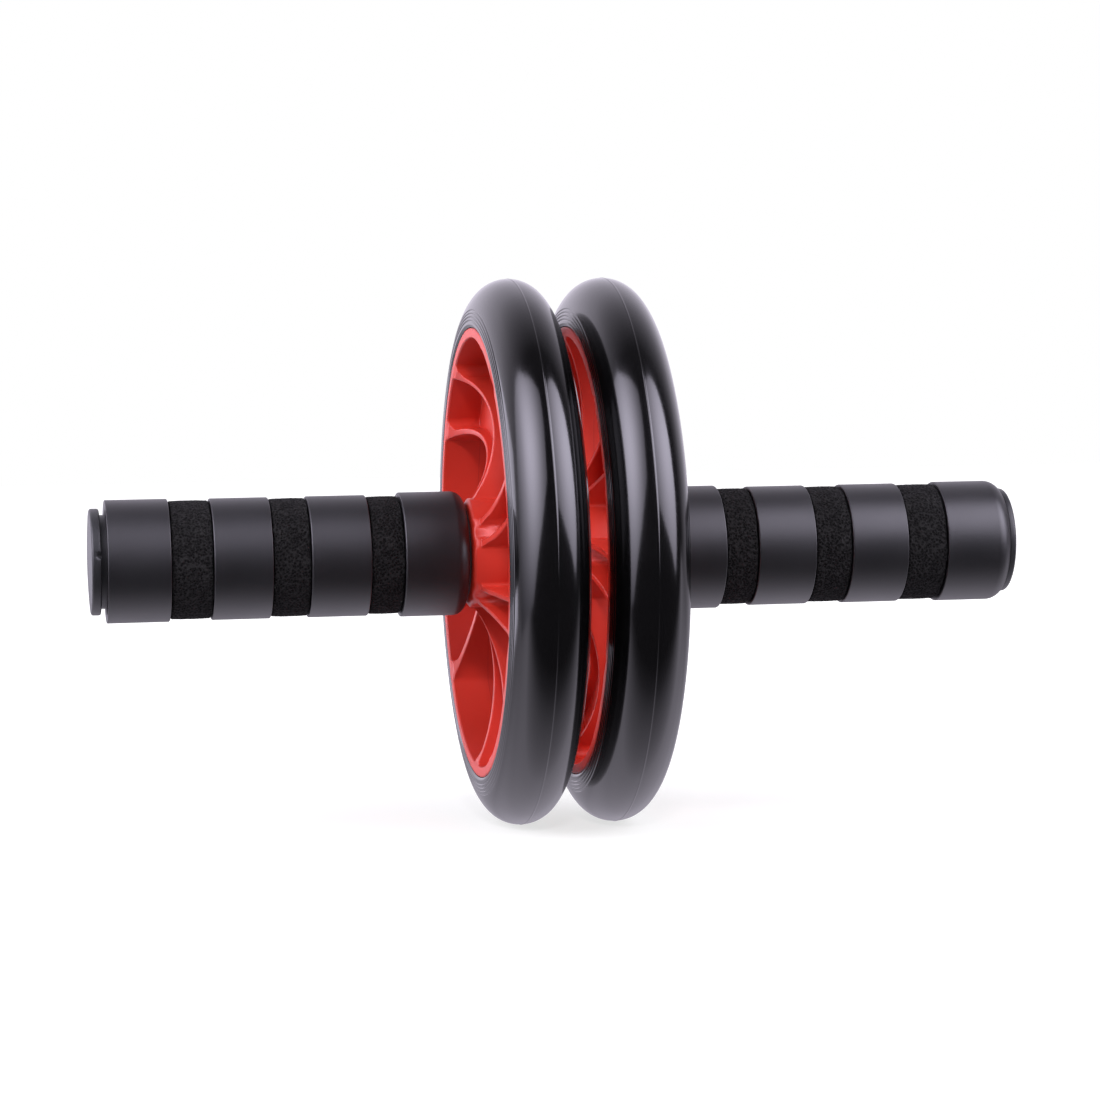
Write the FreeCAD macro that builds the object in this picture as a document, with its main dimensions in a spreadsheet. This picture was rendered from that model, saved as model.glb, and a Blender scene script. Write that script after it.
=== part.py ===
import FreeCAD, Part
import math
import os
import Sketcher

# Ab wheel roller: two spoked wheels with rubber tyres that turn on one steel axle, between two grips.
# X runs along the axle, Z is up, and the origin lies on the axle midway between the wheels.
# Lengths are in millimetres and angles in degrees.

sizes = {
    "axle_radius": 6.0,
    "axle_shoulder": 1.0,
    "thread_end_chamfer": 1.0,
    "thread_past_nut": 2.0,
    "axle_tip_gap": 2.1,
    "running_clearance": 0.05,
    "side_play": 0.1,

    "rim_seat_radius": 72.6,
    "rim_wall": 1.9,
    "lip_height": 1.5,
    "lip_half_spacing": 11.8,
    "lip_width": 1.6,
    "lip_chamfer": 0.4,
    "hub_face_radius": 16.0,
    "hub_bevel_height": 2.0,
    "hub_bevel_length": 1.4,
    "hub_overhang": 3.5,
    "rib_overhang": 0.8,
    "dish_half_thickness": 3.75,
    "rib_thickness": 1.9,
    "rib_bend_radius": 49.5,
    "rib_bend_distance": 47.5,
    "rib_bend_angle": 168.4,
    "rib_pair_angle": 23.5,
    "rib_hub_rounding": 1.2,
    "rib_rim_rounding": 2.6,
    "web_half_thickness": 0.8,
    "right_wheel_turn": 15.0,

    "tyre_rise": 15.0,
    "tyre_foot_rise": 0.9,
    "tyre_bulge": 0.9,
    "tyre_foot_ledge": 0.4,
    "tyre_seat_gap": 0.05,

    "centre_washer_thickness": 0.6,
    "thrust_washer_thickness": 0.7,
    "washer_inset": 1.0,

    "inner_band_length": 21.3,
    "inner_groove_width": 11.0,
    "second_band_length": 19.4,
    "middle_groove_width": 12.4,
    "third_band_length": 19.0,
    "outer_groove_width": 13.6,
    "outer_band_length": 22.1,
    "waist_band_radius": 19.8,
    "inner_band_swell": 0.6,
    "outer_band_swell": 0.2,
    "groove_depth": 3.4,
    "groove_wall": 3.0,
    "band_edge_chamfer": 0.4,
    "inner_end_rounding": 4.2,
    "bulkhead_length": 12.0,
    "tube_wall": 2.45,

    "foam_drop": 0.5,
    "foam_gap": 0.1,
    "foam_chamfer": 0.7,

    "nut_washer_radius": 10.0,
    "nut_washer_thickness": 2.0,
    "nut_across_flats": 17.0,
    "nut_height": 8.0,
    "nut_collar_inset": 1.3,
    "nut_collar_height": 2.5,

    "left_cap_gap": 1.9,
    "cap_plug_step": 1.8,
    "cap_flange_overlap": 2.1,
    "cap_flange_thickness": 2.8,
    "cap_flange_rounding": 0.9,
    "cap_flange_chamfer": 0.5,
    "cap_dome_height": 1.2,
    "cap_plug_depth": 8.0,
    "cap_plug_clearance": 0.05,
    "cap_plug_floor_gap": 1.5,
    "cap_wall": 1.8,
}
tyre_shoulder_share = math.sqrt(0.5)
spoke_count = 5
full_turn = 360
half_turn = 180
near_share = 1e-5

doc = FreeCAD.newDocument("ab_wheel_roller")
sheet = doc.addObject("Spreadsheet::Sheet", "dims")
for row, (alias, number) in enumerate(sizes.items(), start=1):
    sheet.set(f"A{row}", alias)
    sheet.set(f"B{row}", str(number))
    sheet.setAlias(f"B{row}", alias)
doc.recompute()

along = FreeCAD.Vector(1, 0, 0)
upright = FreeCAD.Vector(0, 0, 1)
nodes = {}


class Size(float):
    # A number together with the sheet expression that gives it, so that drawings follow the sheet.

    def __new__(cls, number, text):
        made = float.__new__(cls, number)
        made.text = text
        return made

    def __add__(self, other):
        return Size(float(self) + float(other), f"({self.text} + {text_of(other)})")

    def __radd__(self, other):
        return Size(float(other) + float(self), f"({text_of(other)} + {self.text})")

    def __sub__(self, other):
        return Size(float(self) - float(other), f"({self.text} - {text_of(other)})")

    def __mul__(self, other):
        return Size(float(self) * float(other), f"({self.text} * {text_of(other)})")

    def __rmul__(self, other):
        return Size(float(other) * float(self), f"({text_of(other)} * {self.text})")

    def __truediv__(self, other):
        return Size(float(self) / float(other), f"({self.text} / {text_of(other)})")

    def __neg__(self):
        return Size(-float(self), f"(-1 * {self.text})")


def text_of(value):
    return value.text if isinstance(value, Size) else repr(value)


def size(alias):
    return Size(getattr(sheet, alias), f"dims.{alias}")


def square(value):
    return value * value


def root(value):
    return Size(math.sqrt(value), f"sqrt({value.text})")


def cosine(angle):
    return Size(math.cos(math.radians(angle)), f"cos({angle.text})")


def sine(angle):
    return Size(math.sin(math.radians(angle)), f"sin({angle.text})")


def bind(thing, path, value):
    thing.setExpression(path, value.text)


def new_body(label):
    body = doc.addObject("PartDesign::Body", label)
    body.Label = label
    nodes[label] = body
    return body


def new_sketch(body, name, plane):
    sketch = body.newObject("Sketcher::SketchObject", name)
    support = next(item for item in body.Origin.OriginFeatures if item.Role == plane)
    sketch.AttachmentSupport = [(support, "")]
    sketch.MapMode = "FlatFace"
    return sketch


def bound_constraint(sketch, value, *parts):
    index = sketch.addConstraint(Sketcher.Constraint(*parts, float(value)))
    bind(sketch, f"Constraints[{index}]", value)


def locate(sketch, geometry, end, x, y):
    # Ties a point to the sketch axes: by a bound distance, or on the axis itself where it is zero.
    for value, kind, axis in ((x, "DistanceX", -2), (y, "DistanceY", -1)):
        if isinstance(value, Size):
            bound_constraint(sketch, value, kind, -1, 1, geometry, end)
        else:
            sketch.addConstraint(Sketcher.Constraint("PointOnObject", geometry, end, axis))


def draw_arc(sketch, centre, radius, start, finish):
    # Draws the short way round, and says which end of the arc is the start and which the finish.
    middle = FreeCAD.Vector(*centre)
    first = math.atan2(start.y - middle.y, start.x - middle.x)
    last = math.atan2(finish.y - middle.y, finish.x - middle.x)
    turn = (last - first) % (2 * math.pi)
    forward = turn < math.pi
    low, high = (first, first + turn) if forward else (last, last + 2 * math.pi - turn)
    circle = Part.Circle(middle, upright, float(radius))
    geometry = sketch.addGeometry(Part.ArcOfCircle(circle, low, high))
    bound_constraint(sketch, radius, "Radius", geometry)
    return (geometry, 1, 2) if forward else (geometry, 2, 1)


def draw_outline(sketch, corners):
    # Each corner is (x, y) with a straight edge after it, or (x, y, centre, radius) with an arc.
    count = len(corners)
    edges = []
    for index, corner in enumerate(corners):
        after = corners[(index + 1) % count]
        start = FreeCAD.Vector(corner[0], corner[1])
        finish = FreeCAD.Vector(after[0], after[1])
        if len(corner) == 2:
            edges.append((sketch.addGeometry(Part.LineSegment(start, finish)), 1, 2))
        else:
            edges.append(draw_arc(sketch, corner[2], corner[3], start, finish))
    for index, (geometry, start, finish) in enumerate(edges):
        after, after_start, _ = edges[(index + 1) % count]
        sketch.addConstraint(Sketcher.Constraint("Coincident", geometry, finish, after, after_start))
        locate(sketch, geometry, start, corners[index][0], corners[index][1])


def mirrored(corners):
    # The outline of a piece that is the same on both sides of its middle plane, from its right half.
    left = []
    for index in range(len(corners) - 1, -1, -1):
        corner = corners[index]
        before = corners[index - 1] if index else corner
        if index and len(before) == 4:
            left.append((-corner[0], corner[1], (-before[2][0], before[2][1]), before[3]))
        else:
            left.append((-corner[0], corner[1]))
    return list(corners) + left


def revolved(body, corners, name):
    sketch = new_sketch(body, f"{name}_section", "XY_Plane")
    draw_outline(sketch, corners)
    feature = body.newObject("PartDesign::Revolution", name)
    feature.Profile = sketch
    feature.ReferenceAxis = (sketch, ["H_Axis"])
    feature.Angle = full_turn
    doc.recompute()
    return feature


def ring_edges(feature, places):
    # Names of the circular edges that lie at the given distances along the axle and radii.
    found = []
    for number, edge in enumerate(feature.Shape.Edges, start=1):
        if edge.Degenerated or not isinstance(edge.Curve, Part.Circle):
            continue
        for distance, radius in places:
            near = near_share * radius
            if abs(edge.Curve.Radius - radius) < near and abs(edge.Curve.Center.x - distance) < near:
                found.append(f"Edge{number}")
    return found


def rounded(body, feature, places, rounding, name):
    fillet = body.newObject("PartDesign::Fillet", name)
    fillet.Base = (feature, ring_edges(feature, places))
    bind(fillet, "Radius", rounding)
    doc.recompute()
    return fillet


def bevelled(body, feature, places, bevel, name):
    chamfer = body.newObject("PartDesign::Chamfer", name)
    chamfer.Base = (feature, ring_edges(feature, places))
    bind(chamfer, "Size", bevel)
    doc.recompute()
    return chamfer


def draw_ring(sketch, outer, inner):
    for radius in (outer, inner):
        circle = Part.Circle(FreeCAD.Vector(), upright, float(radius))
        geometry = sketch.addGeometry(circle)
        sketch.addConstraint(Sketcher.Constraint("Coincident", geometry, 3, -1, 1))
        bound_constraint(sketch, radius, "Radius", geometry)


def padded(body, sketch, length, name):
    pad = body.newObject("PartDesign::Pad", name)
    pad.Profile = sketch
    bind(pad, "Length", length)
    doc.recompute()
    return pad


def place(body, side, distance):
    # Left-hand pieces are the right-hand ones given half a turn about the upright axis.
    turn = half_turn if side == "left" else 0
    reach = -distance if side == "left" else distance
    body.Placement = FreeCAD.Placement(FreeCAD.Vector(reach, 0, 0), FreeCAD.Rotation(upright, turn))
    bind(body, "Placement.Base.x", reach)


def make_washer(label, radius, thickness):
    body = new_body(label)
    sketch = new_sketch(body, f"{label}_ring", "YZ_Plane")
    draw_ring(sketch, radius, axle_bore)
    padded(body, sketch, thickness, f"{label}_pad")
    return body


axle_bore = size("axle_radius") + size("running_clearance")
thread_radius = size("axle_radius") - size("axle_shoulder")
rim_inner = size("rim_seat_radius") - size("rim_wall")
lip_radius = size("rim_seat_radius") + size("lip_height")
hub_radius = size("hub_face_radius") + size("hub_bevel_height")
hub_half_length = size("lip_half_spacing") + size("hub_overhang")
wheel_offset = hub_half_length + size("side_play") + size("centre_washer_thickness") / 2
handle_start = wheel_offset + hub_half_length + size("side_play") + size("thrust_washer_thickness")
waist_radius = size("waist_band_radius")
inner_radius = waist_radius + size("inner_band_swell")
outer_radius = waist_radius + size("outer_band_swell")
groove_floor = waist_radius - size("groove_depth")
core_radius = groove_floor - size("groove_wall")
plug_radius = core_radius + size("cap_plug_step")
flange_radius = plug_radius + size("cap_flange_overlap")

groove_starts = {}
groove_widths = {}
reach = size("inner_band_length")
for band, gap in (("inner", "second_band_length"), ("middle", "third_band_length"), ("outer", None)):
    groove_starts[band] = reach
    groove_widths[band] = size(f"{band}_groove_width")
    reach = reach + groove_widths[band]
    if gap:
        reach = reach + size(gap)
cap_seat = handle_start + reach + size("outer_band_length")
axle_tip = cap_seat - size("cap_plug_depth") - size("axle_tip_gap")
nut_seat = axle_tip - size("thread_past_nut") - size("nut_collar_height") - size("nut_height")
tube_end = nut_seat - size("nut_washer_thickness")


def make_axle():
    body = new_body("axle_rod")
    bevel = size("thread_end_chamfer")
    half = [
        (axle_tip, 0),
        (axle_tip, thread_radius - bevel),
        (axle_tip - bevel, thread_radius),
        (tube_end, thread_radius),
        (tube_end, size("axle_radius")),
    ]
    revolved(body, mirrored(half), "axle_turning")


def wheel_section():
    # Right half, from the bore out to the tyre seat: hub, dished disc and the lip of the rim.
    # The dish is an arc from hub to rim that is thinnest midway.
    lip = size("lip_half_spacing")
    root_half = lip + size("rib_overhang")
    half_span = (rim_inner - hub_radius) / 2
    mid_radius = hub_radius + half_span
    fall = root_half - size("dish_half_thickness")
    dish = (square(half_span) + square(fall)) / (2 * fall)
    centre = (size("dish_half_thickness") + dish, mid_radius)
    lip_foot = mid_radius + root(square(dish) - square(centre[0] - lip))
    shelf = lip - size("lip_width")
    return [
        (hub_half_length, axle_bore),
        (hub_half_length, size("hub_face_radius")),
        (hub_half_length - size("hub_bevel_length"), hub_radius),
        (root_half, hub_radius, centre, dish),
        (lip, lip_foot),
        (lip, lip_radius),
        (shelf, lip_radius),
        (shelf, size("rim_seat_radius")),
    ]


def between_ribs(sketch, first_angle, second_angle):
    # The opening between two swept ribs, with rounded corners at the hub and at the rim.
    hub = hub_radius
    rim = rim_inner
    hub_corner = size("rib_hub_rounding")
    rim_corner = size("rib_rim_rounding")
    far = size("rib_bend_distance")
    hollow_side = size("rib_bend_radius") - size("rib_thickness") / 2
    round_side = size("rib_bend_radius") + size("rib_thickness") / 2
    centres = [(far * cosine(angle), far * sine(angle)) for angle in (first_angle, second_angle)]

    def corner_centre(ring, angle, reach):
        lean = (square(far) + square(ring) - square(reach)) / (2 * far * ring)
        turn = math.radians(angle) - math.acos(lean)
        return FreeCAD.Vector(ring * math.cos(turn), ring * math.sin(turn))

    def towards(origin, point, distance):
        return origin + (point - origin).normalize() * float(distance)

    middle = FreeCAD.Vector()
    bends = [FreeCAD.Vector(*centre) for centre in centres]
    corners = [
        (corner_centre(hub + hub_corner, first_angle, hollow_side - hub_corner), hub_corner, hub, 0),
        (corner_centre(rim - rim_corner, first_angle, hollow_side - rim_corner), rim_corner, rim, 0),
        (corner_centre(rim - rim_corner, second_angle, round_side + rim_corner), rim_corner, rim, 1),
        (corner_centre(hub + hub_corner, second_angle, round_side + hub_corner), hub_corner, hub, 1),
    ]
    rib_sides = (hollow_side, round_side)
    ring_points = [towards(middle, centre, ring) for centre, _, ring, _ in corners]
    rib_points = [towards(bends[rib], centre, rib_sides[rib]) for centre, _, _, rib in corners]

    chain = [
        (corners[0][0], hub_corner, ring_points[0], rib_points[0]),
        (bends[0], hollow_side, rib_points[0], rib_points[1]),
        (corners[1][0], rim_corner, rib_points[1], ring_points[1]),
        (middle, rim, ring_points[1], ring_points[2]),
        (corners[2][0], rim_corner, ring_points[2], rib_points[2]),
        (bends[1], round_side, rib_points[2], rib_points[3]),
        (corners[3][0], hub_corner, rib_points[3], ring_points[3]),
        (middle, hub, ring_points[3], ring_points[0]),
    ]
    edges = [draw_arc(sketch, *link) for link in chain]
    for index, (geometry, _, finish) in enumerate(edges):
        after, after_start, _ = edges[(index + 1) % len(edges)]
        sketch.addConstraint(Sketcher.Constraint("Tangent", geometry, finish, after, after_start))
    for index in (3, 7):
        sketch.addConstraint(Sketcher.Constraint("Coincident", edges[index][0], 3, -1, 1))
    for index, centre in ((1, centres[0]), (5, centres[1])):
        locate(sketch, edges[index][0], 3, *centre)


def cut_through(body, name, first_angle, second_angle, plane_offset, reverse):
    sketch = new_sketch(body, f"{name}_outline", "YZ_Plane")
    bind(sketch, "AttachmentOffset.Base.z", plane_offset)
    between_ribs(sketch, first_angle, second_angle)
    pocket = body.newObject("PartDesign::Pocket", name)
    pocket.Profile = sketch
    pocket.Type = "ThroughAll"
    pocket.Reversed = reverse
    doc.recompute()
    return pocket


def make_wheel(side):
    body = new_body(f"{side}_wheel")
    disc = revolved(body, mirrored(wheel_section()), f"{side}_wheel_turning")
    lip_places = [(sign * size("lip_half_spacing"), lip_radius) for sign in (1, -1)]
    bevelled(body, disc, lip_places, size("lip_chamfer"), f"{side}_lip_chamfer")
    spoke_angle = Size(full_turn / spoke_count, repr(full_turn / spoke_count))
    first = size("rib_bend_angle")
    second = first + size("rib_pair_angle")
    web = size("web_half_thickness")
    cuts = [
        cut_through(body, f"{side}_window", second, first + spoke_angle, hub_half_length, False),
        cut_through(body, f"{side}_outer_recess", first, second, web, True),
        cut_through(body, f"{side}_inner_recess", first, second, -web, False),
    ]
    pattern = body.newObject("PartDesign::PolarPattern", f"{side}_spokes")
    pattern.Originals = cuts
    axis = next(item for item in body.Origin.OriginFeatures if item.Role == "X_Axis")
    pattern.Axis = (axis, [""])
    pattern.Angle = full_turn
    pattern.Occurrences = spoke_count
    body.Tip = pattern
    doc.recompute()
    return body


def tyre_section():
    # Right half of the oval section: foot over the lip, side wall, then half of the crown.
    # Wall and crown are arcs that meet on the shoulder of an ellipse.
    foot = lip_radius + size("tyre_seat_gap")
    seat = size("rim_seat_radius") + size("tyre_seat_gap")
    shelf = size("lip_half_spacing") - size("lip_width") - size("tyre_seat_gap")
    widest = lip_radius + size("tyre_foot_rise")
    half_width = size("lip_half_spacing") + size("tyre_bulge")
    rise = size("tyre_rise")
    shoulder = (half_width * tyre_shoulder_share, rise * tyre_shoulder_share)
    pull = half_width - shoulder[0]
    drop = rise - shoulder[1]
    wall = (square(pull) + square(shoulder[1])) / (2 * pull)
    crown = (square(drop) + square(shoulder[0])) / (2 * drop)
    return [
        (shelf, seat),
        (shelf, foot),
        (size("lip_half_spacing") + size("tyre_foot_ledge"), foot),
        (half_width, widest, (half_width - wall, widest), wall),
        (shoulder[0], widest + shoulder[1], (0, widest + rise - crown), crown),
    ]


def make_tyre(side):
    body = new_body(f"{side}_tyre")
    revolved(body, mirrored(tyre_section()), f"{side}_tyre_turning")
    return body


def make_handle(side):
    # A sleeve with three foam grooves, hollow round an inner tube that the axle runs through.
    body = new_body(f"{side}_handle")
    length = cap_seat - handle_start
    if side == "left":
        length = length - size("left_cap_gap")
    before = {"inner": inner_radius, "middle": waist_radius, "outer": waist_radius}
    after = {"inner": waist_radius, "middle": waist_radius, "outer": outer_radius}
    corners = [(0, axle_bore), (0, inner_radius)]
    groove_rims = []
    for band, start in groove_starts.items():
        finish = start + groove_widths[band]
        rims = [(start, before[band]), (finish, after[band])]
        corners += [rims[0], (start, groove_floor), (finish, groove_floor), rims[1]]
        groove_rims += rims
    plug_bore = plug_radius + size("cap_plug_clearance")
    plug_floor = cap_seat - handle_start - size("cap_plug_depth") - size("cap_plug_floor_gap")
    tube_length = tube_end - handle_start
    tube_radius = axle_bore + size("tube_wall")
    corners += [
        (length, outer_radius),
        (length, plug_bore),
        (plug_floor, plug_bore),
        (plug_floor, core_radius),
        (size("bulkhead_length"), core_radius),
        (size("bulkhead_length"), tube_radius),
        (tube_length, tube_radius),
        (tube_length, axle_bore),
    ]
    sleeve = revolved(body, corners, f"{side}_handle_turning")
    eased = bevelled(body, sleeve, groove_rims, size("band_edge_chamfer"), f"{side}_band_chamfer")
    if side == "left":
        rounded(body, eased, [(0, inner_radius)], size("inner_end_rounding"), "left_nose")
    else:
        rounded(body, eased, [(length, outer_radius)], outer_radius - flange_radius, "right_nose")
    return body


def make_foam(side, band):
    label = f"{side}_{band}_foam"
    body = new_body(label)
    inside = groove_floor + size("foam_gap")
    outside = waist_radius - size("foam_drop")
    width = groove_widths[band] - 2 * size("foam_gap")
    corners = [(0, inside), (width, inside), (width, outside), (0, outside)]
    ring = revolved(body, corners, f"{label}_turning")
    bevelled(body, ring, [(0, outside), (width, outside)], size("foam_chamfer"), f"{label}_chamfer")
    return body


def make_nut(side):
    label = f"{side}_axle_nut"
    body = new_body(label)
    bore = thread_radius + size("running_clearance")
    corner = size("nut_across_flats") / math.sqrt(3)
    angles = [Size(step * 60, repr(step * 60)) for step in range(6)]
    outline = new_sketch(body, f"{label}_hexagon", "YZ_Plane")
    draw_outline(outline, [(corner * cosine(angle), corner * sine(angle)) for angle in angles])
    geometry = outline.addGeometry(Part.Circle(FreeCAD.Vector(), upright, float(bore)))
    outline.addConstraint(Sketcher.Constraint("Coincident", geometry, 3, -1, 1))
    bound_constraint(outline, bore, "Radius", geometry)
    padded(body, outline, size("nut_height"), f"{label}_pad")
    collar = new_sketch(body, f"{label}_collar_ring", "YZ_Plane")
    draw_ring(collar, size("nut_across_flats") / 2 - size("nut_collar_inset"), bore)
    padded(body, collar, size("nut_height") + size("nut_collar_height"), f"{label}_collar")
    return body


def make_cap(side):
    # A hollow plug under a flange with a shallow dome. x is zero under the flange.
    label = f"{side}_end_cap"
    body = new_body(label)
    plug = plug_radius
    flange = flange_radius
    rim = size("cap_flange_thickness")
    dome = size("cap_dome_height")
    bend = (square(flange) + square(dome)) / (2 * dome)
    hollow = plug - size("cap_wall")
    ceiling = rim - size("cap_wall")
    corners = [
        (-size("cap_plug_depth"), hollow),
        (-size("cap_plug_depth"), plug),
        (0, plug),
        (0, flange),
        (rim, flange, (rim + dome - bend, 0), bend),
        (rim + dome, 0),
        (ceiling, 0),
        (ceiling, hollow),
    ]
    turned = revolved(body, corners, f"{label}_turning")
    eased = bevelled(body, turned, [(0, flange)], size("cap_flange_chamfer"), f"{label}_chamfer")
    rounded(body, eased, [(rim, flange)], size("cap_flange_rounding"), f"{label}_rounding")
    return body


make_axle()
washer_radius = size("hub_face_radius") - size("washer_inset")
centre_washer = make_washer("centre_washer", washer_radius, size("centre_washer_thickness"))
place(centre_washer, "right", -size("centre_washer_thickness") / 2)

for side in ("left", "right"):
    place(make_wheel(side), side, wheel_offset)
    place(make_tyre(side), side, wheel_offset)
    thrust = make_washer(f"{side}_thrust_washer", washer_radius, size("thrust_washer_thickness"))
    place(thrust, side, handle_start - size("thrust_washer_thickness"))
    place(make_handle(side), side, handle_start)
    for band, start in groove_starts.items():
        place(make_foam(side, band), side, handle_start + start + size("foam_gap"))
    under_nut = make_washer(f"{side}_nut_washer", size("nut_washer_radius"), size("nut_washer_thickness"))
    place(under_nut, side, tube_end)
    place(make_nut(side), side, nut_seat)
    place(make_cap(side), side, cap_seat)

turned_wheel = nodes["right_wheel"]
turned_wheel.Placement.Rotation = FreeCAD.Rotation(along, float(size("right_wheel_turn")))
bind(turned_wheel, "Placement.Rotation.Angle", size("right_wheel_turn"))
doc.recompute()

for thing in doc.Objects:
    if "Invalid" in thing.State or "Error" in thing.State:
        raise RuntimeError(f"{thing.Label} did not build: {thing.State}")

os.makedirs("parts", exist_ok=True)
for label, body in nodes.items():
    if body.Shape.isNull() or not body.Shape.isValid():
        raise RuntimeError(f"{label} is not a sound solid")
    body.Shape.exportStep(f"parts/{label}.step")
    print(f"{label}: {len(body.Shape.Solids)} solid, {body.Shape.Volume:.0f} mm3")
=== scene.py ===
import math
import bmesh
import bpy
from mathutils import Matrix, Vector, noise


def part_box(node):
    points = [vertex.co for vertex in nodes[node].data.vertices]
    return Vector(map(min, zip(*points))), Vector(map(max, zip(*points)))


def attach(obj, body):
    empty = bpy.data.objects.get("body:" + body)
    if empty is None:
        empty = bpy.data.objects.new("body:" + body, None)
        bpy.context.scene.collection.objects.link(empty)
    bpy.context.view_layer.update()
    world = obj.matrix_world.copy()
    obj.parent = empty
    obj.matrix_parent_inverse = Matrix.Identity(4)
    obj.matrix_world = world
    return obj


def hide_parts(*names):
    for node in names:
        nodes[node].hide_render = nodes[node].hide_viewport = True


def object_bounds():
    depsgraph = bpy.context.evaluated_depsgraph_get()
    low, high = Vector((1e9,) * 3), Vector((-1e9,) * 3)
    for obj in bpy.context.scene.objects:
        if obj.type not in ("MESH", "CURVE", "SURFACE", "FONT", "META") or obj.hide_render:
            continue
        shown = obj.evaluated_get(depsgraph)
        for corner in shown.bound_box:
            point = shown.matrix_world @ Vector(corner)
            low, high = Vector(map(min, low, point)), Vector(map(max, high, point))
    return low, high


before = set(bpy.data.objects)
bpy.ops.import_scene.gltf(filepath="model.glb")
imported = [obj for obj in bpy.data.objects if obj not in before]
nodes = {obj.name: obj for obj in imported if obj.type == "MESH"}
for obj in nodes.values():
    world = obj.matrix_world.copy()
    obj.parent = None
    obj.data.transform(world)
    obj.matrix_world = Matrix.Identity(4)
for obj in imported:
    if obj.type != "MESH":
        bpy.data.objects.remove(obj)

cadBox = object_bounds()
scene = bpy.context.scene
sides = ("left", "right")
bands = ("inner", "middle", "outer")
gripBody = "axle_and_grips"


# small helpers for node trees

def newGroup(name, inputs, outputs):
    tree = bpy.data.node_groups.new(name, "ShaderNodeTree")
    for label, kind, value in inputs:
        socket = tree.interface.new_socket(label, in_out="INPUT", socket_type=kind)
        if value is not None:
            socket.default_value = value
    for label, kind in outputs:
        tree.interface.new_socket(label, in_out="OUTPUT", socket_type=kind)
    return tree, tree.nodes.new("NodeGroupInput"), tree.nodes.new("NodeGroupOutput")


def addMath(tree, operation, first, second=None):
    node = tree.nodes.new("ShaderNodeMath")
    node.operation = operation
    for index, value in enumerate((first, second)):
        if value is None:
            continue
        if isinstance(value, (int, float)):
            node.inputs[index].default_value = value
        else:
            tree.links.new(value, node.inputs[index])
    return node.outputs[0]


def addRange(tree, value, fromLow, fromHigh, toLow, toHigh):
    node = tree.nodes.new("ShaderNodeMapRange")
    tree.links.new(value, node.inputs["Value"])
    limits = {"From Min": fromLow, "From Max": fromHigh, "To Min": toLow, "To Max": toHigh}
    for label, number in limits.items():
        node.inputs[label].default_value = number
    return node.outputs["Result"]


def addMix(tree, factor, first, second):
    node = tree.nodes.new("ShaderNodeMix")
    node.data_type = "RGBA"
    tree.links.new(factor, node.inputs["Factor"])
    for label, value in (("A", first), ("B", second)):
        socket = next(item for item in node.inputs if item.name == label and item.type == "RGBA")
        if isinstance(value, tuple):
            socket.default_value = (*value, 1.0)
        else:
            tree.links.new(value, socket)
    return next(item for item in node.outputs if item.type == "RGBA")


def addBump(tree, height, strength, distance, normal=None):
    node = tree.nodes.new("ShaderNodeBump")
    node.inputs["Strength"].default_value = strength
    node.inputs["Distance"].default_value = distance
    tree.links.new(height, node.inputs["Height"])
    if normal is not None:
        tree.links.new(normal, node.inputs["Normal"])
    return node.outputs["Normal"]


def addGroup(tree, group, **values):
    node = tree.nodes.new("ShaderNodeGroup")
    node.node_tree = group
    for label, value in values.items():
        if isinstance(value, (int, float)):
            node.inputs[label].default_value = value
        else:
            tree.links.new(value, node.inputs[label])
    return node


def newMaterial(name):
    material = bpy.data.materials.new(name)
    material.use_nodes = True
    tree = material.node_tree
    shader = tree.nodes["Principled BSDF"]
    place = tree.nodes.new("ShaderNodeTexCoord").outputs["Object"]
    return material, tree, shader, place


# effects that several finishes share

mottleLook = {"detail": 4.0, "roughness": 0.6, "low": 0.3, "high": 0.7}


def makeMottle(look):
    # slow change of tone over a moulded surface
    group, given, out = newGroup(
        "mouldedMottle",
        [("Vector", "NodeSocketVector", None), ("Scale", "NodeSocketFloat", 30.0)],
        [("Value", "NodeSocketFloat")])
    cloud = group.nodes.new("ShaderNodeTexNoise")
    cloud.inputs["Detail"].default_value = look["detail"]
    cloud.inputs["Roughness"].default_value = look["roughness"]
    group.links.new(given.outputs["Vector"], cloud.inputs["Vector"])
    group.links.new(given.outputs["Scale"], cloud.inputs["Scale"])
    tone = addRange(group, cloud.outputs["Fac"], look["low"], look["high"], 0.0, 1.0)
    group.links.new(tone, out.inputs["Value"])
    return group


def makeSpecks():
    # a few fine dust specks, one in some of the cells
    group, given, out = newGroup(
        "dustSpecks",
        [("Vector", "NodeSocketVector", None), ("Scale", "NodeSocketFloat", 150.0),
         ("Amount", "NodeSocketFloat", 0.1), ("Width", "NodeSocketFloat", 0.08)],
        [("Mask", "NodeSocketFloat")])
    cells = group.nodes.new("ShaderNodeTexVoronoi")
    group.links.new(given.outputs["Vector"], cells.inputs["Vector"])
    group.links.new(given.outputs["Scale"], cells.inputs["Scale"])
    pick = group.nodes.new("ShaderNodeSeparateColor")
    group.links.new(cells.outputs["Color"], pick.inputs["Color"])
    chosen = addMath(group, "LESS_THAN", pick.outputs["Red"], given.outputs["Amount"])
    reach = addMath(group, "MULTIPLY", given.outputs["Width"], pick.outputs["Green"])
    near = addMath(group, "LESS_THAN", cells.outputs["Distance"], reach)
    group.links.new(addMath(group, "MULTIPLY", chosen, near), out.inputs["Mask"])
    return group


def makeGrain():
    # the fine texture of a spark-finished mould
    group, given, out = newGroup(
        "mouldGrain",
        [("Vector", "NodeSocketVector", None), ("Scale", "NodeSocketFloat", 2500.0)],
        [("Height", "NodeSocketFloat")])
    fine = group.nodes.new("ShaderNodeTexNoise")
    group.links.new(given.outputs["Vector"], fine.inputs["Vector"])
    group.links.new(given.outputs["Scale"], fine.inputs["Scale"])
    group.links.new(fine.outputs["Fac"], out.inputs["Height"])
    return group


mottle = makeMottle(mottleLook)
specks = makeSpecks()
grain = makeGrain()
print("shared effects ready")


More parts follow.
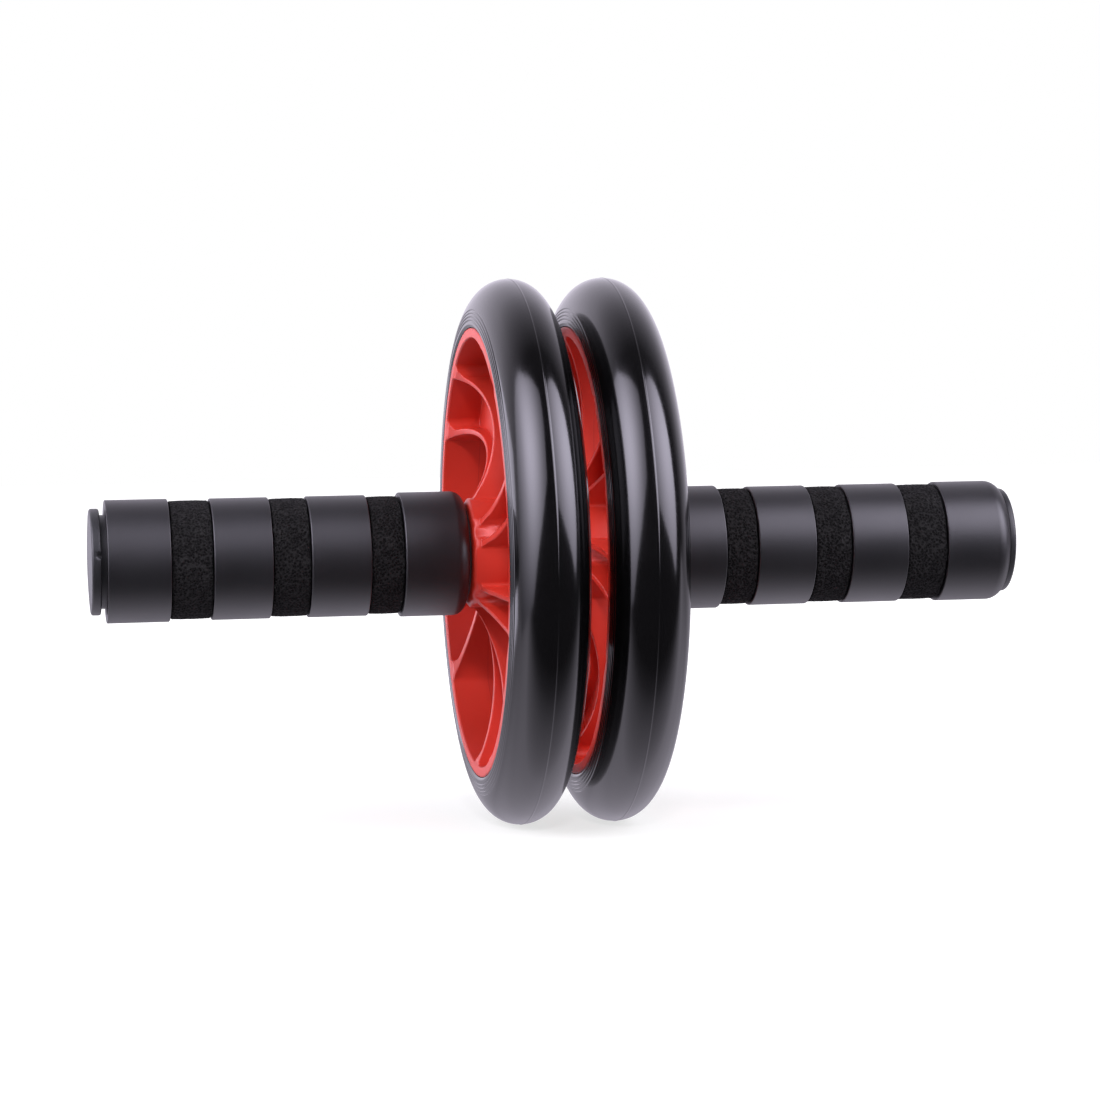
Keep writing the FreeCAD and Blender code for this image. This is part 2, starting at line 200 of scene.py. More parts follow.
# finishes

plasticLook = {"grainHeight": 0.0002, "speckRoughness": 0.3}


def addPlastic(tree, shader, place, finish):
    # colour, roughness and grain that every moulded finish here starts from
    tone = addGroup(tree, mottle, Vector=place, Scale=finish["mottleScale"]).outputs["Value"]
    dots = addGroup(tree, specks, Vector=place, Scale=finish["speckScale"],
                    Amount=finish["speckShare"], Width=finish["speckWidth"]).outputs["Mask"]
    colour = addMix(tree, dots, addMix(tree, tone, finish["deep"], finish["bright"]), finish["speck"])
    smooth = addRange(tree, tone, 0.0, 1.0, *finish["roughness"])
    height = addGroup(tree, grain, Vector=place, Scale=finish["grainScale"]).outputs["Height"]
    normal = addBump(tree, height, finish["grainStrength"], plasticLook["grainHeight"])
    tree.links.new(normal, shader.inputs["Normal"])
    shader.inputs["Specular IOR Level"].default_value = finish["specular"]
    rough = addMath(tree, "MULTIPLY", dots, plasticLook["speckRoughness"])
    return colour, addMath(tree, "ADD", smooth, rough)


def addParting(tree, place, colour, finish):
    # the line that the mould leaves round a wheel
    split = tree.nodes.new("ShaderNodeSeparateXYZ")
    tree.links.new(place, split.inputs[0])
    along = addMath(tree, "ABSOLUTE", split.outputs["X"])
    offset = addMath(tree, "SUBTRACT", along, finish["partingPlace"])
    line = addMath(tree, "LESS_THAN", addMath(tree, "ABSOLUTE", offset), finish["partingWidth"])
    return addMix(tree, line, colour, finish["parting"])


def makeMoulded(name, finish):
    material, tree, shader, place = newMaterial(name)
    colour, smooth = addPlastic(tree, shader, place, finish)
    if "parting" in finish:
        colour = addParting(tree, place, colour, finish)
    tree.links.new(colour, shader.inputs["Base Color"])
    tree.links.new(smooth, shader.inputs["Roughness"])
    return material


def makeFoamBlack(finish):
    material, tree, shader, place = newMaterial("foamBlack")
    cells = tree.nodes.new("ShaderNodeTexVoronoi")
    cells.inputs["Scale"].default_value = finish["cellScale"]
    tree.links.new(place, cells.inputs["Vector"])
    fine = addGroup(tree, grain, Vector=place, Scale=finish["grainScale"]).outputs["Height"]
    patch = addGroup(tree, mottle, Vector=place, Scale=finish["mottleScale"]).outputs["Value"]
    lint = addGroup(tree, specks, Vector=place, Scale=finish["speckScale"],
                    Amount=finish["speckShare"], Width=finish["speckWidth"]).outputs["Mask"]
    # the pits of the cells are coloured near black as painted shade, darker than the raised walls, and
    # patches vary the tone at random
    walls = addRange(tree, cells.outputs["Distance"], *finish["cellWalls"], 0.0, 1.0)
    paintedPitShadeAndPatches = addMath(tree, "MULTIPLY", walls, addRange(tree, patch, 0.0, 1.0, finish["patchLow"], 1.0))
    colour = addMix(tree, paintedPitShadeAndPatches, finish["deep"], finish["bright"])
    tree.links.new(addMix(tree, lint, colour, finish["speck"]), shader.inputs["Base Color"])
    tree.links.new(addRange(tree, walls, 0.0, 1.0, *finish["roughness"]), shader.inputs["Roughness"])
    coarse = addBump(tree, walls, finish["cellStrength"], finish["cellHeight"])
    normal = addBump(tree, fine, finish["grainStrength"], finish["grainHeight"], coarse)
    tree.links.new(normal, shader.inputs["Normal"])
    shader.inputs["Specular IOR Level"].default_value = finish["specular"]
    shader.inputs["Sheen Weight"].default_value = finish["sheen"]
    shader.inputs["Sheen Roughness"].default_value = finish["sheenRoughness"]
    return material


def makeSteel(finish):
    material, tree, shader, place = newMaterial("zincSteel")
    tone = addGroup(tree, mottle, Vector=place, Scale=finish["mottleScale"]).outputs["Value"]
    tree.links.new(addMix(tree, tone, finish["deep"], finish["bright"]), shader.inputs["Base Color"])
    tree.links.new(addRange(tree, tone, 0.0, 1.0, *finish["roughness"]), shader.inputs["Roughness"])
    shader.inputs["Metallic"].default_value = 1.0
    return material


wheelRed = makeMoulded("wheelRed", {
    "deep": (0.50, 0.0270, 0.0160), "bright": (0.55, 0.0310, 0.0190), "speck": (0.55, 0.14, 0.12),
    "roughness": (0.34, 0.42), "specular": 0.34, "mottleScale": 25.0,
    "speckScale": 160.0, "speckShare": 0.04, "speckWidth": 0.03,
    "grainScale": 1800.0, "grainStrength": 0.05,
    "parting": (0.36, 0.018, 0.014), "partingPlace": 0.0157, "partingWidth": 0.00008})
tyreBlack = makeMoulded("tyreBlack", {
    "deep": (0.0010, 0.0009, 0.0011), "bright": (0.0017, 0.0016, 0.0019), "speck": (0.07, 0.07, 0.075),
    "roughness": (0.11, 0.16), "specular": 0.5, "mottleScale": 40.0,
    "speckScale": 170.0, "speckShare": 0.12, "speckWidth": 0.035,
    "grainScale": 1500.0, "grainStrength": 0.03})
gripPlastic = makeMoulded("gripPlastic", {
    "deep": (0.0028, 0.0026, 0.0033), "bright": (0.0040, 0.0038, 0.0046), "speck": (0.09, 0.09, 0.095),
    "roughness": (0.41, 0.47), "specular": 0.58, "mottleScale": 35.0,
    "speckScale": 160.0, "speckShare": 0.05, "speckWidth": 0.03,
    "grainScale": 2600.0, "grainStrength": 0.08})
capPlastic = makeMoulded("capPlastic", {
    "deep": (0.013, 0.013, 0.015), "bright": (0.017, 0.017, 0.0195), "speck": (0.30, 0.30, 0.31),
    "roughness": (0.38, 0.48), "specular": 0.40, "mottleScale": 50.0,
    "speckScale": 220.0, "speckShare": 0.10, "speckWidth": 0.04,
    "grainScale": 2600.0, "grainStrength": 0.08})
washerPlastic = makeMoulded("washerPlastic", {
    "deep": (0.018, 0.018, 0.020), "bright": (0.024, 0.024, 0.026), "speck": (0.08, 0.08, 0.08),
    "roughness": (0.45, 0.55), "specular": 0.5, "mottleScale": 60.0,
    "speckScale": 200.0, "speckShare": 0.03, "speckWidth": 0.03,
    "grainScale": 2600.0, "grainStrength": 0.06})
foamBlack = makeFoamBlack({
    # deep is the painted shade in the pits of the cells, bright the colour of the cell walls
    "deep": (0.0006, 0.0005, 0.0007), "bright": (0.0170, 0.0160, 0.0175), "speck": (0.07, 0.07, 0.07),
    "roughness": (0.95, 0.80), "specular": 0.06, "sheen": 0.008, "sheenRoughness": 0.6,
    "cellScale": 1250.0, "cellWalls": (0.15, 0.75), "cellStrength": 0.9, "cellHeight": 0.0004,
    "grainScale": 3000.0, "grainStrength": 0.6, "grainHeight": 0.0003,
    "mottleScale": 180.0, "patchLow": 0.6,
    "speckScale": 260.0, "speckShare": 0.10, "speckWidth": 0.25})
zincSteel = makeSteel({
    "deep": (0.50, 0.51, 0.53), "bright": (0.66, 0.66, 0.67),
    "roughness": (0.24, 0.36), "mottleScale": 60.0})


def paint(thing, material):
    thing.data.materials.clear()
    thing.data.materials.append(material)


for side in sides:
    for label, finish in (("wheel", wheelRed), ("tyre", tyreBlack), ("handle", gripPlastic),
                          ("end_cap", capPlastic), ("thrust_washer", washerPlastic),
                          ("nut_washer", zincSteel), ("axle_nut", zincSteel)):
        paint(nodes[f"{side}_{label}"], finish)
paint(nodes["axle_rod"], zincSteel)
paint(nodes["centre_washer"], washerPlastic)
print("finishes on the carried-over parts")


# helpers for pieces

samePlace = 1e-6       # metres within which two points count as one
sectionMerge = 1e-7    # the same within a section, whose points lie closer
flatWeight = 90        # over 50, so that large faces lead


def addPiece(name, bm, material):
    mesh = bpy.data.meshes.new(name)
    bm.to_mesh(mesh)
    bm.free()
    mesh.shade_smooth()
    piece = bpy.data.objects.new(name, mesh)
    scene.collection.objects.link(piece)
    mesh.materials.append(material)
    return piece


def standIn(piece, node, body):
    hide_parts(node)
    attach(piece, body)


def keepFlats(piece):
    # flat faces stay flat to the eye beside rounded edges
    flats = piece.modifiers.new("keepFlats", "WEIGHTED_NORMAL")
    flats.keep_sharp = True
    flats.weight = flatWeight


def easeEdges(bm, edges, width, segments, clamp):
    bmesh.ops.bevel(bm, geom=edges, offset=width, offset_type="OFFSET", affect="EDGES",
                    segments=segments, profile=0.5, material=-1, clamp_overlap=clamp)


def outward(vert):
    # straight away from the axle
    return Vector((0, vert.co.y, vert.co.z)).normalized()


# wheels: the carried-over shape with its edges eased as moulded ones are

wheelEdges = {
    "merge": 0.00012,      # points closer than this become one
    "flat": 0.5,           # degrees between faces that count as one
    "sharp": 28.0,         # degrees from which an edge is eased
    "ease": 0.0004,
    "segments": 3,
    "clearOfHub": 0.0205,  # nearer the axle the edges stay as they are
    "bead": 0.0006,        # rise of the rim's lips over the carried-over ones
    "beadFoot": (0.0702, 0.0709),    # it grows between these radii
    "beadSide": (0.0108, 0.0117),    # and between these distances from the wheel's middle
}


def share(value, low, high):
    # how far a value has come from low to high
    return min(max((value - low) / (high - low), 0.0), 1.0)


def makeWheel(side, shape):
    node = f"{side}_wheel"
    bm = bmesh.new()
    bm.from_mesh(nodes[node].data)
    bmesh.ops.remove_doubles(bm, verts=bm.verts, dist=shape["merge"])
    bmesh.ops.dissolve_degenerate(bm, edges=bm.edges[:], dist=samePlace)
    bmesh.ops.dissolve_limit(bm, angle_limit=math.radians(shape["flat"]),
                             verts=bm.verts[:], edges=bm.edges[:])
    sharp = [edge for edge in bm.edges
             if edge.is_manifold and edge.calc_face_angle() > math.radians(shape["sharp"])
             and min(vert.co.yz.length for vert in edge.verts) > shape["clearOfHub"]]
    easeEdges(bm, sharp, shape["ease"], shape["segments"], False)
    low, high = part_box(node)
    middle = (low.x + high.x) / 2
    for vert in bm.verts:
        off = vert.co.x - middle
        rise = share(vert.co.yz.length, *shape["beadFoot"]) * share(abs(off), *shape["beadSide"])
        vert.co.x += math.copysign(shape["bead"] * rise, off)
    bmesh.ops.recalc_face_normals(bm, faces=bm.faces)
    piece = addPiece(f"{node}_moulding", bm, wheelRed)
    standIn(piece, node, f"{side}_wheel_set")
    keepFlats(piece)


for side in sides:
    makeWheel(side, wheelEdges)
print("wheels done")


# tyres, turned from their oval section

tyreShape = {
    "middle": 0.0157,         # of the wheel, along the axle
    "seat": 0.07265, "foot": 0.07415, "shelf": 0.01015, "ledge": 0.0122,
    "widest": 0.0750, "halfWidth": 0.0127, "rise": 0.01485,
    "shoulder": math.sqrt(0.5),     # share of width and rise at which wall and crown meet
    "sharp": 35,                    # degrees from which an edge shows
    "wallSteps": 110, "crownSteps": 28, "turns": 288,
    "grooveFirst": 0.0762, "grooveStep": 0.00115, "grooveCount": 4,
    "grooveDepth": 0.00024, "grooveHalf": 0.00042,
    "ridgeHalf": 0.00016, "ridgeRise": 0.00011,     # the line that the mould leaves round the crown
}


def addArc(bm, start, centre, angle, steps):
    # carries a section on round an arc and gives its last point
    turned = bmesh.ops.spin(bm, geom=[start], cent=centre, axis=(0, 1, 0), angle=angle, steps=steps)
    return next(item for item in turned["geom_last"] if isinstance(item, bmesh.types.BMVert))


def addLine(bm, start, x, z):
    point = bmesh.ops.extrude_vert_indiv(bm, verts=[start])["verts"][0]
    point.co = (x, 0, z)
    return point


def turnSection(bm, steps):
    bmesh.ops.remove_doubles(bm, verts=bm.verts, dist=sectionMerge)
    bmesh.ops.spin(bm, geom=bm.verts[:] + bm.edges[:], cent=(0, 0, 0), axis=(1, 0, 0),
                   angle=2 * math.pi, steps=steps, use_merge=True)
    bmesh.ops.remove_doubles(bm, verts=bm.verts, dist=samePlace)
    bmesh.ops.recalc_face_normals(bm, faces=bm.faces)


def makeTyre(side, shape):
    node = f"{side}_tyre"
    half, rise, widest = shape["halfWidth"], shape["rise"], shape["widest"]
    shoulder = shape["shoulder"]
    pull, drop = half * (1 - shoulder), rise * (1 - shoulder)
    wall = (pull ** 2 + (rise * shoulder) ** 2) / (2 * pull)
    crown = (drop ** 2 + (half * shoulder) ** 2) / (2 * drop)
    bm = bmesh.new()
    point = bm.verts.new((0, 0, shape["seat"]))
    point = addLine(bm, point, shape["shelf"], shape["seat"])
    point = addLine(bm, point, shape["shelf"], shape["foot"])
    point = addLine(bm, point, shape["ledge"], shape["foot"])
    point = addLine(bm, point, half, widest)
    reach = math.asin(rise * shoulder / wall)
    point = addArc(bm, point, (half - wall, 0, widest), -reach, shape["wallSteps"])
    reach = math.asin(half * shoulder / crown) - shape["ridgeHalf"] / crown
    point = addArc(bm, point, (0, 0, widest + rise - crown), -reach, shape["crownSteps"])
    addLine(bm, point, 0, point.co.z + shape["ridgeRise"])
    for vert in bm.verts:
        if vert.co.z < widest or vert.co.x < half * shoulder:
            continue
        for index in range(shape["grooveCount"]):
            groove = shape["grooveFirst"] + index * shape["grooveStep"]
            off = abs(vert.co.z - groove) / shape["grooveHalf"]
            if off < 1:
                vert.co.x -= shape["grooveDepth"] * (1 + math.cos(math.pi * off)) / 2
    bmesh.ops.mirror(bm, geom=bm.verts[:] + bm.edges[:], axis="X", merge_dist=sectionMerge)
    turnSection(bm, shape["turns"])
    middle = -shape["middle"] if side == "left" else shape["middle"]
    bmesh.ops.translate(bm, verts=bm.verts, vec=(middle, 0, 0))
    piece = addPiece(f"{node}_rubber", bm, tyreBlack)
    piece.data.set_sharp_from_angle(angle=math.radians(shape["sharp"]))
    standIn(piece, node, f"{side}_wheel_set")


for side in sides:
    makeTyre(side, tyreShape)
print("tyres done")


# grips: sleeves with three grooves, turned and then eased at their rims

gripShape = {
    "start": 0.0318, "bore": 0.00605, "floor": 0.0164,
    "bands": (0.0204, 0.0198, 0.0198, 0.0200),     # radii from the wheel outwards
    "grooves": ((0.0213, 0.0323), (0.0517, 0.0641), (0.0831, 0.0967)),
    "length": {"left": 0.1169, "right": 0.1188},
    "plugBore": 0.01525, "plugFloor": 0.1093, "core": 0.0134, "bulkhead": 0.0120,
    "tube": 0.0085, "tubeEnd": 0.0942,
    "rimRound": 0.0004, "endRound": 0.00025,
    "rimSegments": 4,
    "noseRound": 0.0042, "noseSegments": 10,        # of the left grip, at the wheel
    "outerNose": (0.0051, 62), "noseSteps": 12,     # of the right grip: radius and turn
    "turns": 200, "sharp": 40,
}


def onRing(vert, x, radius):
    return abs(vert.co.x - x) < samePlace and abs(vert.co.yz.length - radius) < samePlace


def roundRings(bm, rings, width, segments):
    edges = [edge for x, radius in rings for edge in bm.edges
             if all(onRing(vert, x, radius) for vert in edge.verts)]
    easeEdges(bm, edges, width, segments, True)


def toSide(bm, side, start):
    # pieces are drawn from the wheel outwards on the right, and turned half round for the left
    bmesh.ops.translate(bm, verts=bm.verts, vec=(start, 0, 0))
    if side == "left":
        bmesh.ops.rotate(bm, verts=bm.verts, cent=(0, 0, 0), matrix=Matrix.Rotation(math.pi, 3, "Z"))


def makeGrip(side, shape):
    node = f"{side}_handle"
    length = shape["length"][side]
    radii = shape["bands"]
    corners = [(0, radii[0])]
    rims = []
    for index, (near, far) in enumerate(shape["grooves"]):
        rims += [(near, radii[index]), (far, radii[index + 1])]
        corners += [rims[-2], (near, shape["floor"]), (far, shape["floor"]), rims[-1]]
    inside = [(length, shape["plugBore"]), (shape["plugFloor"], shape["plugBore"]),
              (shape["plugFloor"], shape["core"]), (shape["bulkhead"], shape["core"]),
              (shape["bulkhead"], shape["tube"]), (shape["tubeEnd"], shape["tube"]),
              (shape["tubeEnd"], shape["bore"])]
    bend, turn = shape["outerNose"][0], math.radians(shape["outerNose"][1])
    tail = length - bend * math.sin(turn) if side == "right" else length
    bm = bmesh.new()
    first = point = bm.verts.new((0, 0, shape["bore"]))
    for x, radius in corners + [(tail, radii[-1])]:
        point = addLine(bm, point, x, radius)
    if side == "right":
        point = addArc(bm, point, (tail, 0, radii[-1] - bend), turn, shape["noseSteps"])
    for x, radius in inside:
        point = addLine(bm, point, x, radius)
    bm.edges.new((point, first))
    turnSection(bm, shape["turns"])
    roundRings(bm, rims, shape["rimRound"], shape["rimSegments"])
    if side == "left":
        roundRings(bm, [(0, radii[0])], shape["noseRound"], shape["noseSegments"])
        roundRings(bm, [(length, radii[-1])], shape["endRound"], shape["rimSegments"])
    else:
        roundRings(bm, [(0, radii[0])], shape["endRound"], shape["rimSegments"])
    toSide(bm, side, shape["start"])
    piece = addPiece(f"{node}_sleeve", bm, gripPlastic)
    piece.data.set_sharp_from_angle(angle=math.radians(shape["sharp"]))
    standIn(piece, node, gripBody)
    keepFlats(piece)


for side in sides:
    makeGrip(side, gripShape)
print("grips done")


# end caps: a flange with a shallow dome on a hollow plug

capShape = {
    "seat": 0.1506, "plug": 0.0152, "plugDepth": 0.0080, "hollow": 0.0134, "ceiling": 0.0010,
    "flange": 0.0173, "domeSteps": 24,
    "thick": {"left": 0.0031, "right": 0.0020}, "dome": {"left": 0.0007, "right": 0.0010},
    "underRound": {"left": 0.0006, "right": 0.0002}, "underSegments": 4,
    "overRound": 0.0009, "overSegments": 6, "turns": 240, "sharp": 40,
    "nicked": "left", "nick": (0.0004, 0.0172, 0.0028),     # before the half turn that brings it in front
    "nickReach": 0.0011, "nickDepth": 0.0012,
}


def makeCap(side, shape):
    node = f"{side}_end_cap"
    flange, thick, dome = shape["flange"], shape["thick"][side], shape["dome"][side]
    bend = (flange ** 2 + dome ** 2) / (2 * dome)
    bm = bmesh.new()
    point = bm.verts.new((shape["ceiling"], 0, 0))
    for x, radius in ((shape["ceiling"], shape["hollow"]), (-shape["plugDepth"], shape["hollow"]),
                      (-shape["plugDepth"], shape["plug"]), (0, shape["plug"]), (0, flange),
                      (thick / 2, flange), (thick, flange)):
        point = addLine(bm, point, x, radius)
    addArc(bm, point, (thick + dome - bend, 0, 0), math.asin(flange / bend), shape["domeSteps"])
    turnSection(bm, shape["turns"])
    roundRings(bm, [(0, flange)], shape["underRound"][side], shape["underSegments"])
    roundRings(bm, [(thick, flange)], shape["overRound"], shape["overSegments"])
    if side == shape["nicked"]:
        # a small knock in the rim
        nick = Vector(shape["nick"])
        for vert in bm.verts:
            near = 1 - (vert.co - nick).length / shape["nickReach"]
            if near > 0:
                vert.co -= outward(vert) * shape["nickDepth"] * math.sqrt(near)
    toSide(bm, side, shape["seat"])
    piece = addPiece(f"{node}_moulding", bm, capPlastic)
    piece.data.set_sharp_from_angle(angle=math.radians(shape["sharp"]))
    standIn(piece, node, gripBody)


for side in sides:
    makeCap(side, capShape)
print("end caps done")


# foam rings in the grooves of the grips

foamRing = {
    "sideGap": 0.00012,    # left free beside the groove wall
    "edgeRound": 0.0006,
    "crown": 0.00015,      # rise of the middle over the edges
    "seat": 0.0165,        # radius of its inside, on the groove floor
    "turns": 400,
    "crownSteps": 36,
    "edgeSteps": 4,
    "smooth": 0.0005,      # this close to the seat the ring stays even
    "wander": 0.00030,     # how far the cut edges stray
    "wanderLean": 0.3,     # so that they stray inwards more than outwards
    "waveScale": (40, 160, 160), "waveShift": 7,
    "lumps": 0.00016,      # unevenness of the skin
    "lumpScale": 1500, "fineShare": 0.6, "slowShare": 0.5,
}


def makeFoam(node, shape):
    low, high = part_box(node)
    left = low.x + shape["sideGap"]
    right = high.x - shape["sideGap"]
    inside, bend, steps = shape["seat"], shape["edgeRound"], shape["crownSteps"]
    wall = high.z - bend - shape["crown"]
    bm = bmesh.new()
    first = bm.verts.new((left, 0, inside))
    point = addLine(bm, first, left, wall)
    point = addArc(bm, point, (left + bend, 0, wall), math.pi / 2, shape["edgeSteps"])
    begin, top = point.co.x, point.co.z
    for index in range(steps):
        point = addLine(bm, point, begin + (right - left - 2 * bend) * (index + 1) / steps, top)
    point = addArc(bm, point, (right - bend, 0, wall), math.pi / 2, shape["edgeSteps"])
    point = addLine(bm, point, right, inside)
    bm.edges.new((point, first))
    turnSection(bm, shape["turns"])
    middle = (left + right) / 2
    half = (right - left) / 2
    shift = Vector((shape["waveShift"], 0, 0))
    for vert in bm.verts:
        if vert.co.yz.length < inside + shape["smooth"]:
            continue
        across = (vert.co.x - middle) / half
        away = outward(vert)
        slow = noise.noise(vert.co * Vector(shape["waveScale"]) + shift)
        fine = noise.noise(vert.co * shape["lumpScale"])
        uneven = shape["fineShare"] * fine + shape["slowShare"] * slow
        vert.co.x += shape["wander"] * across ** 3 * (slow - shape["wanderLean"])
        vert.co += away * (shape["crown"] * (1 - across ** 2) + shape["lumps"] * uneven)
    piece = addPiece(f"{node}_ring", bm, foamBlack)
    standIn(piece, node, gripBody)


for side in sides:
    for band in bands:
        makeFoam(f"{side}_{band}_foam", foamRing)
print("foam rings done")


# camera at the photograph's place

photoCamera = {
    "place": (-0.2009, -1.1296, 0.0465),
    "right": (0.98464, -0.17364, -0.01796),
    "down": (-0.02467, -0.03658, -0.99903),
    "forward": (0.17282, 0.98413, -0.04031),
    "focalPixels": 3469.0,
    "framePixels": 1100.0,
    "sensor": 36.0,
    "clipEnd": 50.0,
}


def addCamera(shot):
    data = bpy.data.cameras.new("photoCamera")
    data.sensor_width = shot["sensor"]
    data.lens = shot["focalPixels"] / shot["framePixels"] * shot["sensor"]
    data.clip_end = shot["clipEnd"]
    camera = bpy.data.objects.new("photoCamera", data)
    scene.collection.objects.link(camera)
    rows = (Vector(shot["right"]), -Vector(shot["down"]), -Vector(shot["forward"]))
    camera.matrix_world = Matrix.Translation(shot["place"]) @ Matrix(rows).transposed().to_4x4()
    scene.camera = camera


addCamera(photoCamera)


# floor, background and lamps

studio = {
    "floorReach": 6.0,
    "floorColour": (0.34, 0.335, 0.345), "floorRoughness": 0.9,
    "nearGlow": 0.70,              # near the object the lamps do the rest, and its shadow stays
    "farGlow": 1.1,
    "glowStart": 0.12, "glowEnd": 0.55,
    "backdrop": (1.0, 0.94, 1.10),
    "backdropDark": 0.07, "backdropLight": 0.75, "backdropLow": 0.10, "backdropHigh": 1.1,
    # the far floor that gloss shows: how far back, in its depth below, and how bright
    "farFloor": ((-0.9, 0.08), (-0.6, 0.25), (-0.2, 0.9), (0.35, 1.5), (1.2, 1.0), (3.0, 0.55)),
    "farFloorMost": 2.0,           # over the brightest of these
    "leastDepth": 0.02,
    "horizon": (-0.06, 0.02),      # heights between which floor gives way to backdrop
    "glossTint": (0.98, 0.93, 1.12),
    "softboxFar": 1.5,
}

# panels, with a glow that gloss shows and a fill that lights colours
# each direction is a bearing from straight ahead and a height, in degrees, seen from the object
softboxes = {
    "leftSoftbox": {
        "centre": (-67, 32), "glow": 9.5, "fill": 4.3, "spread": 33,
        "corners": ((-112, -14), (-112, 33), (-103, 47), (-88, 57), (-62, 67), (-20, 68), (-14, 55),
                    (-16, 30), (-27, 20), (-38, 10), (-51, 0), (-70, -14))},
    "rightSoftbox": {
        "centre": (60, 33), "glow": 9.0, "fill": 5.0, "spread": 36,
        "corners": ((12, 30), (16, 52), (25, 64), (45, 69), (64, 66), (75, 60), (80, 51), (80, 39),
                    (78, 27), (75, 14), (71, 3), (67, -6), (61, -5), (53, 0), (33, 10), (15, 20))},
    "backSoftbox": {
        "centre": (-136, 1), "glow": 3.3, "fill": 8.0, "spread": 40,
        "corners": ((-121, -10), (-121, 12), (-148, 13), (-152, 1), (-148, -10))},
}

frontKey = {"way": (-9, 22), "far": 1.5, "size": 0.12, "power": 8.0}


def towards(bearing, height):
    bearing, height = math.radians(bearing), math.radians(height)
    level = math.cos(height)
    return Vector((level * math.sin(bearing), -level * math.cos(bearing), math.sin(height)))


def addFloor(shape):
    bm = bmesh.new()
    bmesh.ops.create_grid(bm, x_segments=1, y_segments=1, size=shape["floorReach"])
    bmesh.ops.translate(bm, verts=bm.verts, vec=(0, 0, cadBox[0].z))
    material, tree, shader, place = newMaterial("paleFloor")
    path = tree.nodes.new("ShaderNodeLightPath")
    reach = tree.nodes.new("ShaderNodeVectorMath")
    reach.operation = "LENGTH"
    tree.links.new(place, reach.inputs[0])
    glow = addRange(tree, reach.outputs["Value"], shape["glowStart"], shape["glowEnd"],
                    shape["nearGlow"], shape["farGlow"])
    seen = addMath(tree, "MULTIPLY", path.outputs["Is Camera Ray"], glow)
    tree.links.new(seen, shader.inputs["Emission Strength"])
    shader.inputs["Emission Color"].default_value = (1, 1, 1, 1)
    shader.inputs["Base Color"].default_value = (*shape["floorColour"], 1)
    shader.inputs["Roughness"].default_value = shape["floorRoughness"]
    shader.inputs["Specular IOR Level"].default_value = 0.0
    floor = addPiece("paleFloor", bm, material)
    floor.visible_glossy = False
    floor.visible_shadow = False


def addWorld(shape):
    world = bpy.data.worlds.new("whiteStudio")
    scene.world = world
    world.use_nodes = True
    tree = world.node_tree
    tree.nodes.clear()
    out = tree.nodes.new("ShaderNodeOutputWorld")
    path = tree.nodes.new("ShaderNodeLightPath")
    split = tree.nodes.new("ShaderNodeSeparateXYZ")
    tree.links.new(tree.nodes.new("ShaderNodeTexCoord").outputs["Generated"], split.inputs[0])
    back, up = split.outputs["Y"], split.outputs["Z"]
    above = addRange(tree, back, shape["backdropDark"], shape["backdropLight"],
                     shape["backdropLow"], shape["backdropHigh"])
    depth = addMath(tree, "MAXIMUM", addMath(tree, "MULTIPLY", up, -1.0), shape["leastDepth"])
    first, last, most = shape["farFloor"][0][0], shape["farFloor"][-1][0], shape["farFloorMost"]
    ramp = tree.nodes.new("ShaderNodeValToRGB")
    along = addRange(tree, addMath(tree, "DIVIDE", back, depth), first, last, 0.0, 1.0)
    tree.links.new(along, ramp.inputs["Fac"])
    stops = ramp.color_ramp.elements
    while len(stops) < len(shape["farFloor"]):
        stops.new(0.5)
    for stop, (place, level) in zip(stops, shape["farFloor"]):
        stop.position = (place - first) / (last - first)
        stop.color = (level / most, level / most, level / most, 1)
    below = addMath(tree, "MULTIPLY", ramp.outputs["Color"], most)
    down = addRange(tree, up, *shape["horizon"], 1.0, 0.0)
    level = addMath(tree, "ADD", addMath(tree, "MULTIPLY", below, down),
                    addMath(tree, "MULTIPLY", above, addMath(tree, "SUBTRACT", 1.0, down)))
    soft = tree.nodes.new("ShaderNodeBackground")
    soft.inputs["Color"].default_value = (*shape["backdrop"], 1)
    tree.links.new(level, soft.inputs["Strength"])
    white = tree.nodes.new("ShaderNodeBackground")
    white.inputs["Color"].default_value = (1, 1, 1, 1)
    white.inputs["Strength"].default_value = 1.0
    mix = tree.nodes.new("ShaderNodeMixShader")
    tree.links.new(path.outputs["Is Camera Ray"], mix.inputs[0])
    tree.links.new(soft.outputs[0], mix.inputs[1])
    tree.links.new(white.outputs[0], mix.inputs[2])
    tree.links.new(mix.outputs[0], out.inputs[0])


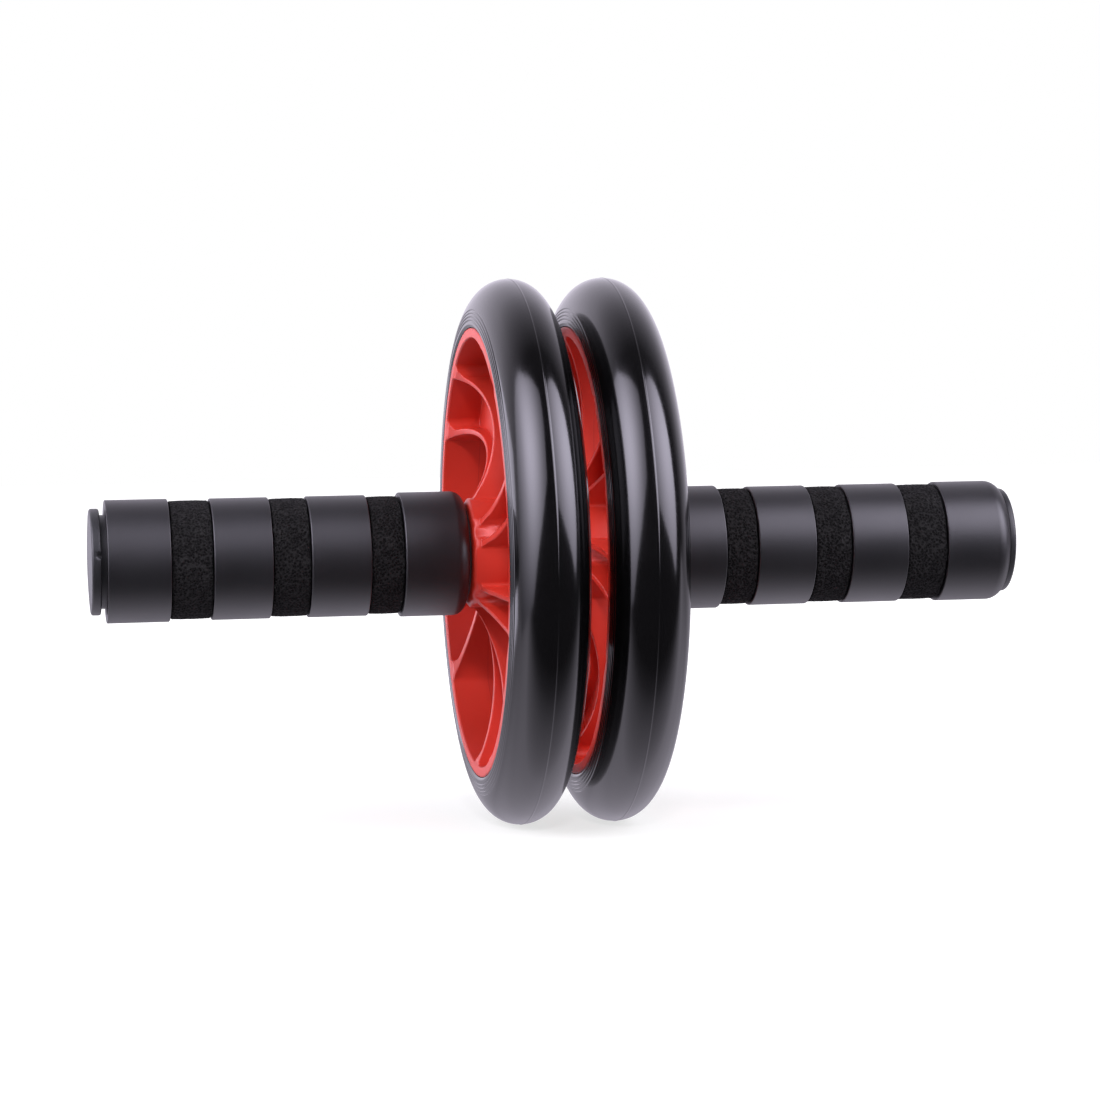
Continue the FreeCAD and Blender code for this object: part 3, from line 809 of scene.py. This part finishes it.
def addSoftbox(name, box, shape, inGloss):
    # one panel that only gloss shows, or its fill that only lights colours
    facing = towards(*box["centre"])
    bm = bmesh.new()
    corners = []
    for bearing, height in box["corners"]:
        way = towards(bearing, height)
        corners.append(bm.verts.new(way * (shape["softboxFar"] / way.dot(facing))))
    bmesh.ops.contextual_create(bm, geom=corners)
    material, tree, shader, place = newMaterial(name)
    way = tree.nodes.new("ShaderNodeVectorMath")
    way.operation = "NORMALIZE"
    tree.links.new(place, way.inputs[0])
    match = tree.nodes.new("ShaderNodeVectorMath")
    match.operation = "DOT_PRODUCT"
    match.inputs[1].default_value = facing
    tree.links.new(way.outputs["Vector"], match.inputs[0])
    angle = addMath(tree, "ARCCOSINE", match.outputs["Value"])
    off = addMath(tree, "DIVIDE", angle, math.radians(box["spread"]))
    square = addMath(tree, "MULTIPLY", off, off)
    fade = addMath(tree, "EXPONENT", addMath(tree, "MULTIPLY", square, -1.0))
    glow = box["glow"] if inGloss else box["fill"]
    tint = shape["glossTint"] if inGloss else (1, 1, 1)
    tree.links.new(addMath(tree, "MULTIPLY", fade, glow), shader.inputs["Emission Strength"])
    shader.inputs["Emission Color"].default_value = (*tint, 1)
    shader.inputs["Base Color"].default_value = (0, 0, 0, 1)
    shader.inputs["Specular IOR Level"].default_value = 0.0
    panel = addPiece(name, bm, material)
    panel.visible_camera = False
    panel.visible_shadow = False
    panel.visible_diffuse = not inGloss
    panel.visible_glossy = inGloss


def addKey(name, key):
    # a small lamp above the camera that only lights colours
    data = bpy.data.lights.new(name, "AREA")
    data.shape = "SQUARE"
    data.size = key["size"]
    data.energy = key["power"]
    lamp = bpy.data.objects.new(name, data)
    scene.collection.objects.link(lamp)
    way = towards(*key["way"])
    lamp.location = way * key["far"]
    lamp.rotation_euler = (-way).to_track_quat("-Z", "Y").to_euler()
    lamp.visible_glossy = False


addFloor(studio)
addWorld(studio)
addKey("frontKey", frontKey)
for name, box in softboxes.items():
    addSoftbox(name, box, studio, True)
    addSoftbox(f"{name}Fill", box, studio, False)
print("studio ready")

scene.view_settings.view_transform = "Standard"
